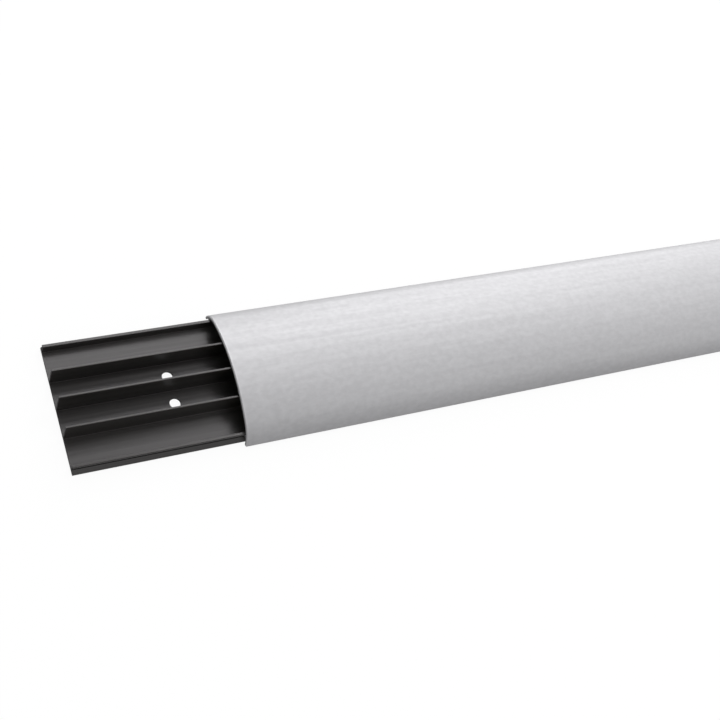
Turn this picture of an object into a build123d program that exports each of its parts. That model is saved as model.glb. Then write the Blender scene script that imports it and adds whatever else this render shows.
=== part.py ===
from build123d import *
import os
from math import asin, atan2, cos, degrees, hypot, radians, sin, sqrt

# Floor cable cover: a channelled base strip that lies on the floor and a domed cover that snaps over it.
# Sections lie in the YZ plane and run along X. The near end, at low X, shows the base bare of its cover.

# Lengths along X
base_length = 1000.0
bare_length = 86.0

# Domed cover
cover_width = 75.0
cover_height = 18.0
cover_wall = 1.5
cover_floor_gap = 0.9
shoulder_radius = 15.5
edge_flare = 16.0  # degrees from upright
cover_edge_round = 0.6
cover_end_bevel = 0.45

# Base strip
foot_clearance = 2.0
foot_edge = 1.0
floor_thickness = 1.5
foot_round = 0.3

# Upright webs between the cable channels
web_pitch = 15.0
web_thickness = 1.1
web_headroom = 0.35
web_tip_round = 0.3
web_root_round = 0.3

# Side rails with their snap nose
rail_set_in = 2.9
rail_stem = 1.0
rail_headroom = 0.45
nose_reach = 0.7
nose_depth = 1.0
nose_lead_in = 0.35
groove_height = 1.4
groove_ledge = 0.7

# Snap rib inside the cover
rib_clearance = 0.2
rib_tip_gap = 0.3
rib_lead_in = 0.35

# Screw holes, in pairs across the two inner channels
hole_diameter = 5.7
hole_end_distance = 57.5
hole_rows = 4

# Dome shape: the shoulder arc rises from the rounded lower edge and runs tangent into the crown arc
edge_swing = shoulder_radius - cover_edge_round
shoulder_centre = cover_width / 2 - cover_edge_round - edge_swing * cos(radians(edge_flare))
shoulder_level = cover_floor_gap + cover_edge_round - edge_swing * sin(radians(edge_flare))
crown_rise = cover_height - shoulder_level - shoulder_radius
crown_drop = (shoulder_centre**2 - crown_rise**2) / (2 * crown_rise)
crown_radius = crown_drop + crown_rise + shoulder_radius
joint_angle = degrees(atan2(crown_drop, shoulder_centre))
inner_crown = crown_radius - cover_wall
inner_shoulder = shoulder_radius - cover_wall


def edge_reach(inset):
    """Distance from the middle to the dome's lower edge, inset evenly from the cover's outside."""
    return shoulder_centre + sqrt((shoulder_radius - inset) ** 2 - (cover_floor_gap - shoulder_level) ** 2)


def dome_face(inset):
    """Closed dome over the lower edge's level, inset evenly from the cover's outside."""
    shoulder = shoulder_radius - inset
    crown = crown_radius - inset
    edge = edge_reach(inset)
    crown_centre = (0, shoulder_level - crown_drop)
    start = degrees(asin((cover_floor_gap - shoulder_level) / shoulder))
    swing = joint_angle - start
    outline = [
        CenterArc((shoulder_centre, shoulder_level), shoulder, start, swing),
        CenterArc(crown_centre, crown, joint_angle, 90 - joint_angle),
        CenterArc(crown_centre, crown, 90, 90 - joint_angle),
        CenterArc((-shoulder_centre, shoulder_level), shoulder, 180 - joint_angle, swing),
        Line((-edge, cover_floor_gap), (edge, cover_floor_gap)),
    ]
    return make_face(outline)


def under_crown(y):
    """Height of the crown's underside at a distance from the middle."""
    return shoulder_level - crown_drop + sqrt(inner_crown**2 - y**2)


def under_shoulder(y):
    """Height of the shoulder's underside at a distance from the middle."""
    return shoulder_level + sqrt(inner_shoulder**2 - (y - shoulder_centre) ** 2)


def corners(face, points):
    """Corners of a section that lie on the given points."""
    return [v for v in face.vertices() if any(hypot(v.X - y, v.Y - z) < 0.001 for y, z in points)]


def both_sides(points):
    """The given points and their mirror images in the middle plane."""
    return [(side * y, z) for y, z in points for side in (1, -1)]


# Faces and levels of the base, from the middle plane and the floor
half_foot = edge_reach(cover_wall) - foot_clearance
rail_inner_face = half_foot - rail_set_in
groove_face = rail_inner_face + rail_stem
nose_face = groove_face + nose_reach
rail_top = under_shoulder(nose_face - nose_lead_in) - rail_headroom
nose_under = rail_top - nose_depth
groove_floor = nose_under - groove_height
half_web = web_thickness / 2
side_web_inner = web_pitch - half_web
side_web_outer = web_pitch + half_web
middle_top = under_crown(half_web) - web_headroom
side_top = under_crown(side_web_outer) - web_headroom

# Base section, from the foot round over the rail and the side web to the middle web, then mirrored
half_section = [
    (half_foot, 0),
    (half_foot, foot_edge),
    (groove_face + groove_ledge, groove_floor),
    (groove_face, groove_floor),
    (groove_face, nose_under),
    (nose_face, nose_under),
    (nose_face, rail_top - nose_lead_in),
    (nose_face - nose_lead_in, rail_top),
    (rail_inner_face, rail_top),
    (rail_inner_face, floor_thickness),
    (side_web_outer, floor_thickness),
    (side_web_outer, side_top),
    (side_web_inner, side_top),
    (side_web_inner, floor_thickness),
    (half_web, floor_thickness),
    (half_web, middle_top),
]
other_half = [(-y, z) for y, z in reversed(half_section)]
base_section = make_face(Polyline(*half_section, *other_half, close=True))
tips = [
    (rail_inner_face, rail_top),
    (side_web_outer, side_top),
    (side_web_inner, side_top),
    (half_web, middle_top),
]
roots = [(y, floor_thickness) for y in (rail_inner_face, side_web_outer, side_web_inner, half_web)]
base_section = fillet(corners(base_section, both_sides(tips)), web_tip_round)
base_section = fillet(corners(base_section, both_sides(roots)), web_root_round)
base_section = fillet(corners(base_section, both_sides([(half_foot, foot_edge)])), foot_round)

# Base strip with its pairs of screw holes
base_start = -base_length / 2
base = extrude(Plane.YZ.offset(base_start) * base_section, amount=base_length)
hole_pitch = (base_length - 2 * hole_end_distance) / (hole_rows - 1)
for place in GridLocations(hole_pitch, web_pitch, hole_rows, 2):
    base -= place * Cylinder(hole_diameter / 2, 4 * floor_thickness)

# Cover section: the dome's wall, with a rib on each side that reaches under the rail's nose
cover_section = dome_face(0) - dome_face(cover_wall)
lower_corners = corners(cover_section, both_sides([(edge_reach(0), cover_floor_gap)]))
cover_section = fillet(lower_corners, cover_edge_round)
rib_top = nose_under - rib_clearance
rib_bottom = groove_floor + rib_clearance
rib_tip = groove_face + rib_tip_gap
rib_root = cover_width / 2 - cover_wall / 2
for side in (1, -1):
    rib_outline = Polyline(
        (side * rib_root, rib_top),
        (side * rib_tip, rib_top),
        (side * rib_tip, rib_bottom + rib_lead_in),
        (side * (rib_tip + rib_lead_in), rib_bottom),
        (side * rib_root, rib_bottom),
        close=True,
    )
    cover_section += make_face(rib_outline) & dome_face(cover_wall / 2)

# Cover, set back from the near end and flush with the base at the far end
cover_start = base_start + bare_length
cover = extrude(Plane.YZ.offset(cover_start) * cover_section, amount=base_length - bare_length)


def on_dome(edge):
    """True for an edge of a cut end that lies on the dome's outside."""
    middle = edge @ 0.5
    rise = middle.Z - shoulder_level
    crown_gap = hypot(middle.Y, rise + crown_drop) - crown_radius
    shoulder_gap = hypot(abs(middle.Y) - shoulder_centre, rise) - shoulder_radius
    return abs(crown_gap) < 0.001 or abs(shoulder_gap) < 0.001


# A fine bevel takes the burr off the dome's sawn edges
cut_ends = [cover.faces().sort_by(Axis.X)[0], cover.faces().sort_by(Axis.X)[-1]]
dome_edges = [edge for face in cut_ends for edge in face.edges() if on_dome(edge)]
cover = chamfer(dome_edges, cover_end_bevel)

os.makedirs("parts", exist_ok=True)
export_step(base, "parts/base.step")
export_step(cover, "parts/cover.step")
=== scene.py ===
from math import cos, pi, radians, sin

import bpy
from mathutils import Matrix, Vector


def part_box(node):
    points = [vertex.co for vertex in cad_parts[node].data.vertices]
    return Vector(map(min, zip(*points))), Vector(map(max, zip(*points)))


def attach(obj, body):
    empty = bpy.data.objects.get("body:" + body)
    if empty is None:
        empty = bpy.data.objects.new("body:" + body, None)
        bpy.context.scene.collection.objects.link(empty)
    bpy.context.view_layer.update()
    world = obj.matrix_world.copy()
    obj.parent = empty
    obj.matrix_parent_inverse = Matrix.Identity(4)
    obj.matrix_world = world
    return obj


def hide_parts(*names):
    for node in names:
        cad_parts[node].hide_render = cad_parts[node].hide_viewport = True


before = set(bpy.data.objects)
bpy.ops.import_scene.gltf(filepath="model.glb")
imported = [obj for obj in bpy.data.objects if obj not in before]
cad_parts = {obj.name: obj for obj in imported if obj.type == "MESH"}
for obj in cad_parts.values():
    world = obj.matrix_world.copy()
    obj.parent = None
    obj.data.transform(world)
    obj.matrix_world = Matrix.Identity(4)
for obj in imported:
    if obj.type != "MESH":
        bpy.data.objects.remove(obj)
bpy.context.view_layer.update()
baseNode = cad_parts["base"]
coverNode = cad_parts["cover"]
coverLow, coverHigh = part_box("cover")
print("frame loaded:", sorted(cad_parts))


# node helpers

def addNode(tree, kind, x, y, **values):
    node = tree.nodes.new(kind)
    node.location = (x, y)
    for name, value in values.items():
        setattr(node, name, value)
    return node


def setInputs(node, **values):
    for name, value in values.items():
        node.inputs[name.replace("_", " ")].default_value = value
    return node


# a plain value is set on the socket, and an output is linked to it
def feed(tree, socket, value):
    if isinstance(value, (int, float, tuple)):
        socket.default_value = value
    else:
        tree.links.new(value, socket)


def mathNode(tree, operation, x, y, *values):
    node = addNode(tree, "ShaderNodeMath", x, y, operation=operation)
    for socket, value in zip(node.inputs, values):
        feed(tree, socket, value)
    return node.outputs[0]


def rangeNode(tree, value, x, y, source, target):
    node = addNode(tree, "ShaderNodeMapRange", x, y)
    setInputs(node, From_Min=source[0], From_Max=source[1], To_Min=target[0], To_Max=target[1])
    tree.links.new(value, node.inputs["Value"])
    return node.outputs["Result"]


# a Mix node has its values on sockets 2 and 3, and its colours on 6 and 7
def mixColour(tree, x, y, factor, first, second, blend="MIX"):
    node = addNode(tree, "ShaderNodeMix", x, y, data_type="RGBA", blend_type=blend)
    for index, value in ((0, factor), (6, first), (7, second)):
        feed(tree, node.inputs[index], value)
    return node.outputs[2]


def mixValue(tree, x, y, factor, first, second):
    node = addNode(tree, "ShaderNodeMix", x, y)
    for index, value in ((0, factor), (2, first), (3, second)):
        feed(tree, node.inputs[index], value)
    return node.outputs[0]


def greyNode(tree, value, x, y):
    node = addNode(tree, "ShaderNodeCombineColor", x, y)
    for socket in node.inputs:
        tree.links.new(value, socket)
    return node.outputs[0]


def splitNode(tree, vector, x, y):
    node = addNode(tree, "ShaderNodeSeparateXYZ", x, y)
    tree.links.new(vector, node.inputs[0])
    return node.outputs


def noiseNode(tree, vector, x, y, scale, detail, roughness=0.5):
    node = addNode(tree, "ShaderNodeTexNoise", x, y)
    setInputs(node, Scale=scale, Detail=detail, Roughness=roughness)
    tree.links.new(vector, node.inputs["Vector"])
    return node.outputs[0]


def stretched(tree, vector, x, y, scale, shift=(0.0, 0.0, 0.0)):
    node = addNode(tree, "ShaderNodeMapping", x, y)
    setInputs(node, Scale=scale, Location=shift)
    tree.links.new(vector, node.inputs["Vector"])
    return node.outputs[0]


def newGroup(name, inputs, outputs):
    group = bpy.data.node_groups.new(name, "ShaderNodeTree")
    for label, kind in inputs:
        group.interface.new_socket(name=label, in_out="INPUT", socket_type=kind)
    for label, kind in outputs:
        group.interface.new_socket(name=label, in_out="OUTPUT", socket_type=kind)
    start = addNode(group, "NodeGroupInput", -900, 0)
    end = addNode(group, "NodeGroupOutput", 900, 0)
    return group, start.outputs, end.inputs


def placeGroup(tree, group, x, y, **values):
    node = addNode(tree, "ShaderNodeGroup", x, y)
    node.node_tree = group
    return setInputs(node, **values)


def emptyTree(owner):
    owner.use_nodes = True
    owner.node_tree.nodes.clear()
    return owner.node_tree


# die lines: streaks that an extrusion die leaves along the strip

dieLine = {
    "stretch": (0.012, 1.0, 1.0),
    "shift": (0.0, 0.026, 0.014),
    "fineScale": 1100.0,
    "fineDetail": 2.0,
    "fineRoughness": 0.6,
    "broadScale": 330.0,
    "broadDetail": 1.0,
    "contrast": (0.35, 0.65),
    "depth": 0.5,
}


def makeDieLines():
    group, start, end = newGroup(
        "dieLines",
        [("Vector", "NodeSocketVector"), ("Fine", "NodeSocketFloat"), ("Broad", "NodeSocketFloat")],
        [("Streaks", "NodeSocketFloat"), ("Height", "NodeSocketFloat")],
    )
    bothWays = (-1.0, 1.0)
    along = stretched(group, start["Vector"], -650, 0, dieLine["stretch"], dieLine["shift"])
    fine = noiseNode(
        group, along, -400, 150, dieLine["fineScale"], dieLine["fineDetail"], dieLine["fineRoughness"]
    )
    broad = noiseNode(group, along, -400, -150, dieLine["broadScale"], dieLine["broadDetail"])
    fineMask = rangeNode(group, fine, -150, 150, dieLine["contrast"], bothWays)
    broadMask = rangeNode(group, broad, -150, -150, dieLine["contrast"], bothWays)
    finePart = mathNode(group, "MULTIPLY", 100, 150, fineMask, start["Fine"])
    broadPart = mathNode(group, "MULTIPLY", 100, -150, broadMask, start["Broad"])
    streaks = mathNode(group, "ADD", 350, 0, finePart, broadPart)
    height = mathNode(group, "MULTIPLY", 600, -150, streaks, dieLine["depth"])
    group.links.new(streaks, end["Streaks"])
    group.links.new(height, end["Height"])
    return group


# sawn ends: where a face looks along the strip, with the blade's slanted marks

sawMark = {
    "facing": (0.8, 0.95),
    "slant": 0.35,
    "wobbleScale": 260.0,
    "wobbleDetail": 2.0,
    "wobble": 0.0012,
}


def makeSawnEnds():
    group, start, end = newGroup(
        "sawnEnds",
        [("Vector", "NodeSocketVector"), ("Normal", "NodeSocketVector"), ("Spacing", "NodeSocketFloat")],
        [("Mask", "NodeSocketFloat"), ("Marks", "NodeSocketFloat")],
    )
    normal = splitNode(group, start["Normal"], -650, 200)
    facing = mathNode(group, "ABSOLUTE", -400, 200, normal[0])
    mask = rangeNode(group, facing, -150, 200, sawMark["facing"], (0.0, 1.0))
    place = splitNode(group, start["Vector"], -650, -150)
    slant = mathNode(group, "MULTIPLY_ADD", -400, -150, place[1], sawMark["slant"], place[2])
    wobble = noiseNode(group, start["Vector"], -400, -400, sawMark["wobbleScale"], sawMark["wobbleDetail"])
    bent = mathNode(group, "MULTIPLY_ADD", -150, -250, wobble, sawMark["wobble"], slant)
    turns = mathNode(group, "DIVIDE", 50, -250, bent, start["Spacing"])
    angle = mathNode(group, "MULTIPLY", 200, -250, turns, 2 * pi)
    waves = mathNode(group, "SINE", 400, -250, angle)
    marks = mathNode(group, "MULTIPLY", 600, -150, waves, mask)
    group.links.new(mask, end["Mask"])
    group.links.new(marks, end["Marks"])
    return group


dieLines = makeDieLines()
sawnEnds = makeSawnEnds()


# what both extrusions share: a shader with die lines and sawn ends, satin roughness and relief

def extrudedMaterial(name, piece):
    material = bpy.data.materials.new(name)
    tree = emptyTree(material)
    output = addNode(tree, "ShaderNodeOutputMaterial", 900, 0)
    shader = addNode(tree, "ShaderNodeBsdfPrincipled", 600, 0)
    tree.links.new(shader.outputs[0], output.inputs["Surface"])
    coords = addNode(tree, "ShaderNodeTexCoord", -1200, 0).outputs
    lines = placeGroup(tree, dieLines, -850, 200, Fine=piece["fineLines"], Broad=piece["broadLines"])
    ends = placeGroup(tree, sawnEnds, -850, -200, Spacing=piece["sawSpacing"])
    for group in (lines, ends):
        tree.links.new(coords["Object"], group.inputs["Vector"])
    tree.links.new(coords["Normal"], ends.inputs["Normal"])
    return material, shader.inputs, coords, lines.outputs, ends.outputs


def setRoughness(tree, shader, piece, lines, ends):
    satin = mathNode(
        tree, "MULTIPLY_ADD", -300, -250, lines["Streaks"], piece["lineRoughness"], piece["roughness"]
    )
    rough = mixValue(tree, 200, -250, ends["Mask"], satin, piece["cutRoughness"])
    tree.links.new(rough, shader["Roughness"])


def setRelief(tree, shader, piece, height):
    bump = addNode(tree, "ShaderNodeBump", 350, -450)
    setInputs(bump, Strength=piece["bumpStrength"], Distance=piece["bumpDistance"])
    tree.links.new(height, bump.inputs["Height"])
    tree.links.new(bump.outputs[0], shader["Normal"])


# cover: satin natural anodised aluminium

cover = {
    "colour": (0.723, 0.72, 0.734, 1.0),
    "roughness": 0.74,
    "cloudScale": 26.0,
    "cloudDetail": 3.0,
    "cloudStretch": (0.25, 1.0, 1.0),
    "cloudShade": (0.985, 1.015),
    "mottleScale": 430.0,
    "mottleDetail": 1.5,
    "mottleStretch": (0.7, 1.0, 1.0),
    "mottleShade": (-0.034, 0.034),
    "noiseSpan": (0.3, 0.7),  # where most of the noise lies
    "fineLines": 0.5,
    "broadLines": 0.6,
    "lineShade": 0.006,
    "lineRoughness": 0.03,
    # lighter bare metal at the sawn edges with a painted highlight, strongest where the edges face up
    "bareAndHighlightColour": (0.803, 0.80, 0.81, 1.0),
    "bareAndHighlightFade": (0.0007, 0.0014),  # metres from a sawn end
    "highlightFacing": (0.5, 0.95),
    "highlightShare": (0.15, 1.0),
    "patchScale": 140.0,
    "patchDetail": 2.0,
    "patchSpan": (0.3, 0.6),
    "patchShare": (0.55, 1.0),
    "cutColour": (0.46, 0.46, 0.465, 1.0),
    "cutShade": (0.85, 1.1),
    "cutRoughness": 0.7,
    "sawSpacing": 0.0005,  # metres
    "grainScale": 5200.0,
    "grainDetail": 2.0,
    "grainDepth": 0.6,
    "bumpStrength": 0.05,
    "bumpDistance": 0.0002,  # metres
    "mergeGap": 0.00001,  # metres
    "smoothAngle": 24.0,  # degrees
}


# the sawn edges are painted lighter: partly bare metal, and partly a painted highlight that is brightest
# where they face up, along the top of the dome
def bareEdgeAndHighlight(tree, coords):
    along = splitNode(tree, coords["Object"], -1000, 900)[0]
    fromNear = mathNode(tree, "SUBTRACT", -800, 1000, along, coverLow.x)
    fromFar = mathNode(tree, "SUBTRACT", -800, 850, coverHigh.x, along)
    gap = mathNode(tree, "MINIMUM", -600, 900, fromNear, fromFar)
    band = rangeNode(tree, gap, -400, 900, cover["bareAndHighlightFade"], (1.0, 0.0))
    # painted highlight: the edge is painted lighter the more it faces up, as the light falls from above
    upward = splitNode(tree, coords["Normal"], -1000, 1200)[2]
    highlightUp = rangeNode(tree, upward, -600, 1200, cover["highlightFacing"], cover["highlightShare"])
    patches = noiseNode(tree, coords["Object"], -600, 1400, cover["patchScale"], cover["patchDetail"])
    patchy = rangeNode(tree, patches, -400, 1400, cover["patchSpan"], cover["patchShare"])
    share = mathNode(tree, "MULTIPLY", -250, 1250, highlightUp, patchy)
    return mathNode(tree, "MULTIPLY", -100, 1000, band, share)


# cloudy shade, fine mottle and faint die lines over the anodised grey
def anodisedColour(tree, coords, lines):
    cloudy = stretched(tree, coords["Object"], -1000, 650, cover["cloudStretch"])
    cloud = noiseNode(tree, cloudy, -800, 650, cover["cloudScale"], cover["cloudDetail"])
    shade = rangeNode(tree, cloud, -550, 650, cover["noiseSpan"], cover["cloudShade"])
    speckled = stretched(tree, coords["Object"], -1000, 450, cover["mottleStretch"])
    speckle = noiseNode(tree, speckled, -800, 450, cover["mottleScale"], cover["mottleDetail"])
    mottle = rangeNode(tree, speckle, -550, 450, cover["noiseSpan"], cover["mottleShade"])
    grained = mathNode(tree, "ADD", -400, 550, shade, mottle)
    lined = mathNode(tree, "MULTIPLY_ADD", -550, 250, lines["Streaks"], cover["lineShade"], grained)
    return mixColour(tree, -50, 350, 1.0, cover["colour"], greyNode(tree, lined, -300, 350), "MULTIPLY")


def coverFinish():
    material, shader, coords, lines, ends = extrudedMaterial("satinAnodised", cover)
    tree = material.node_tree
    anodised = anodisedColour(tree, coords, lines)
    # painted highlight on the sawn edges, over their lighter bare metal
    withEdgeHighlight = mixColour(tree, 75, 450, bareEdgeAndHighlight(tree, coords), anodised, cover["bareAndHighlightColour"])
    cutShade = rangeNode(tree, ends["Marks"], -550, -50, (-1.0, 1.0), cover["cutShade"])
    cutGrey = greyNode(tree, cutShade, -300, -50)
    cutMetal = mixColour(tree, -50, 0, 1.0, cover["cutColour"], cutGrey, "MULTIPLY")
    colour = mixColour(tree, 200, 250, ends["Mask"], withEdgeHighlight, cutMetal)
    tree.links.new(colour, shader["Base Color"])
    setRoughness(tree, shader, cover, lines, ends)
    grain = noiseNode(tree, coords["Object"], -550, -500, cover["grainScale"], cover["grainDetail"])
    lined = mathNode(tree, "MULTIPLY_ADD", -200, -500, grain, cover["grainDepth"], lines["Height"])
    setRelief(tree, shader, cover, mathNode(tree, "ADD", 100, -500, lined, ends["Marks"]))
    shader["Metallic"].default_value = 1.0
    return material


# base: satin black extruded plastic, with a thin glaze that the die lines break up

base = {
    "colour": (0.0115, 0.0102, 0.0082, 1.0),
    "roughness": 0.36,
    "sheen": 0.84,
    "sheenTint": (1.0, 0.967, 0.99, 1.0),
    "glaze": 0.64,
    "lineGlaze": 0.30,
    "fineLines": 0.35,
    "broadLines": 0.8,
    "lineShade": 0.12,
    "lineRoughness": 0.07,
    "cutColour": (0.018, 0.018, 0.018, 1.0),
    "cutRoughness": 0.6,
    "sawSpacing": 0.0007,  # metres
    "bumpStrength": 0.14,
    "bumpDistance": 0.0002,  # metres
}


def baseFinish():
    material, shader, _, lines, ends = extrudedMaterial("blackPlastic", base)
    tree = material.node_tree
    shade = mathNode(tree, "MULTIPLY_ADD", -550, 300, lines["Streaks"], base["lineShade"], 1.0)
    skin = mixColour(tree, -50, 300, 1.0, base["colour"], greyNode(tree, shade, -300, 300), "MULTIPLY")
    colour = mixColour(tree, 200, 250, ends["Mask"], skin, base["cutColour"])
    tree.links.new(colour, shader["Base Color"])
    setRoughness(tree, shader, base, lines, ends)
    glaze = mathNode(tree, "MULTIPLY_ADD", -300, 50, lines["Streaks"], base["lineGlaze"], base["glaze"])
    glazed = mathNode(tree, "MAXIMUM", -50, 50, glaze, 0.0)
    tree.links.new(mixValue(tree, 200, 50, ends["Mask"], glazed, 0.0), shader["Coat Weight"])
    setRelief(tree, shader, base, mathNode(tree, "ADD", 100, -500, lines["Height"], ends["Marks"]))
    shader["Coat Roughness"].default_value = base["roughness"]
    shader["Specular IOR Level"].default_value = base["sheen"]
    shader["Specular Tint"].default_value = base["sheenTint"]
    return material


# cover skin: a merged copy of the node, so that the dome shades smoothly from edge to edge

def buildCoverSkin():
    bpy.ops.object.select_all(action="DESELECT")
    skin = bpy.data.objects.new("coverSkin", coverNode.data.copy())
    bpy.context.scene.collection.objects.link(skin)
    skin.select_set(True)
    bpy.context.view_layer.objects.active = skin
    bpy.ops.mesh.customdata_custom_splitnormals_clear()
    bpy.ops.object.mode_set(mode="EDIT")
    bpy.ops.mesh.select_all(action="SELECT")
    bpy.ops.mesh.remove_doubles(threshold=cover["mergeGap"])
    bpy.ops.object.mode_set(mode="OBJECT")
    bpy.ops.object.shade_smooth_by_angle(angle=radians(cover["smoothAngle"]))
    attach(skin, "root")
    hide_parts("cover")
    return skin


coverSkin = buildCoverSkin()
for piece, finish in ((coverSkin, coverFinish()), (baseNode, baseFinish())):
    piece.data.materials.clear()
    piece.data.materials.append(finish)
print("finishes set on cover and base")


# floor and world: white to the camera, with the strip's own soft shadow kept

stage = {
    "floorSize": 12.0,
    "floorDrop": 0.0003,  # a hair under the base, so that the two don't flicker
    "floorSeen": (0.92, 0.92, 0.92, 1.0),
    "floorAround": (0.34, 0.34, 0.34, 1.0),
    "whiteShare": 0.93,
    "mirroredShare": 0.1,
    "white": (1.0, 1.0, 1.0, 1.0),
    "ambient": 0.72,
    "mirrored": 0.336,
}


def mirroredRays(tree, rays, x, y):
    return mathNode(tree, "MAXIMUM", x, y, rays["Is Glossy Ray"], rays["Is Transmission Ray"])


def blendShaders(tree, share, first, second, output):
    mix = addNode(tree, "ShaderNodeMixShader", 500, 0)
    for socket, source in zip(mix.inputs, (share, first.outputs[0], second.outputs[0])):
        tree.links.new(source, socket)
    tree.links.new(mix.outputs[0], output.inputs["Surface"])


def buildFloor():
    bpy.ops.object.select_all(action="DESELECT")
    bpy.ops.mesh.primitive_plane_add(size=stage["floorSize"], location=(0, 0, -stage["floorDrop"]))
    floor = bpy.context.object
    floor.name = "floor"
    material = bpy.data.materials.new("whiteFloor")
    tree = emptyTree(material)
    output = addNode(tree, "ShaderNodeOutputMaterial", 800, 0)
    matt = addNode(tree, "ShaderNodeBsdfDiffuse", 200, -100)
    glow = addNode(tree, "ShaderNodeEmission", 200, -250)
    rays = addNode(tree, "ShaderNodeLightPath", -600, 150).outputs
    paint = mixColour(tree, 0, -150, rays["Is Camera Ray"], stage["floorAround"], stage["floorSeen"])
    tree.links.new(paint, matt.inputs["Color"])
    direct = mathNode(tree, "MULTIPLY", 0, 250, rays["Is Camera Ray"], stage["whiteShare"])
    bounced = mirroredRays(tree, rays, -250, 50)
    mirrored = mathNode(tree, "MULTIPLY", 0, 50, bounced, stage["mirroredShare"])
    share = mathNode(tree, "MAXIMUM", 250, 150, direct, mirrored)
    blendShaders(tree, share, matt, glow, output)
    floor.data.materials.append(material)


def buildWorld():
    world = bpy.data.worlds.new("studio")
    bpy.context.scene.world = world
    tree = emptyTree(world)
    output = addNode(tree, "ShaderNodeOutputWorld", 800, 0)
    soft = addNode(tree, "ShaderNodeBackground", 200, -100)
    setInputs(soft, Color=stage["white"], Strength=stage["ambient"])
    shown = addNode(tree, "ShaderNodeBackground", 200, -250)
    setInputs(shown, Color=stage["white"])
    rays = addNode(tree, "ShaderNodeLightPath", -600, 0).outputs
    strength = mixValue(tree, -50, -300, rays["Is Camera Ray"], stage["mirrored"], 1.0)
    tree.links.new(strength, shown.inputs["Strength"])
    bounced = mirroredRays(tree, rays, -250, 100)
    share = mathNode(tree, "MAXIMUM", 0, 150, rays["Is Camera Ray"], bounced)
    blendShaders(tree, share, soft, shown, output)


buildFloor()
buildWorld()
print("floor and world set")


# lamps: softboxes above and behind the strip, towards its far end, and a weak one in front

lamps = {
    "keyBox": {"tilt": 38.0, "side": 9.0, "size": 1.1, "watts": 10.8},
    "rearBox": {"tilt": 64.5, "side": 26.0, "size": 0.8, "watts": 18.0},
    "sideBox": {"tilt": 10.0, "side": 31.0, "size": 0.8, "watts": 9.6},
    "frontBox": {"tilt": -52.0, "side": 33.0, "size": 0.8, "watts": 5.4},
}
lampAim = Vector((-0.3, 0.0, 0.0))
lampDistance = 2.4


# in degrees, tilt leans a lamp back over the strip and side turns it towards the far end
def addLamp(name, values):
    tilt, side = radians(values["tilt"]), radians(values["side"])
    way = Vector((sin(side), cos(side) * sin(tilt), cos(side) * cos(tilt)))
    bpy.ops.object.light_add(type="AREA", location=lampAim + way * lampDistance)
    lamp = bpy.context.object
    lamp.name = name
    lamp.data.size = values["size"]
    lamp.data.energy = values["watts"]
    lamp.visible_camera = False
    lamp.rotation_euler = way.to_track_quat("Z", "Y").to_euler()


for name, values in lamps.items():
    addLamp(name, values)
print("lamps set")


# camera at the photograph's angle

view = {
    "place": (-0.59653, -0.22054, 0.52847),
    "turn": (27.7978, -18.0228, -19.3965),
    "lens": 58.262,
    "sensor": 36.0,
    "clipStart": 0.01,
}
bpy.ops.object.camera_add(location=view["place"], rotation=[radians(angle) for angle in view["turn"]])
camera = bpy.context.object
camera.data.lens = view["lens"]
camera.data.sensor_width = view["sensor"]
camera.data.clip_start = view["clipStart"]
bpy.context.scene.camera = camera
bpy.context.scene.view_settings.view_transform = "Standard"
print("camera set")
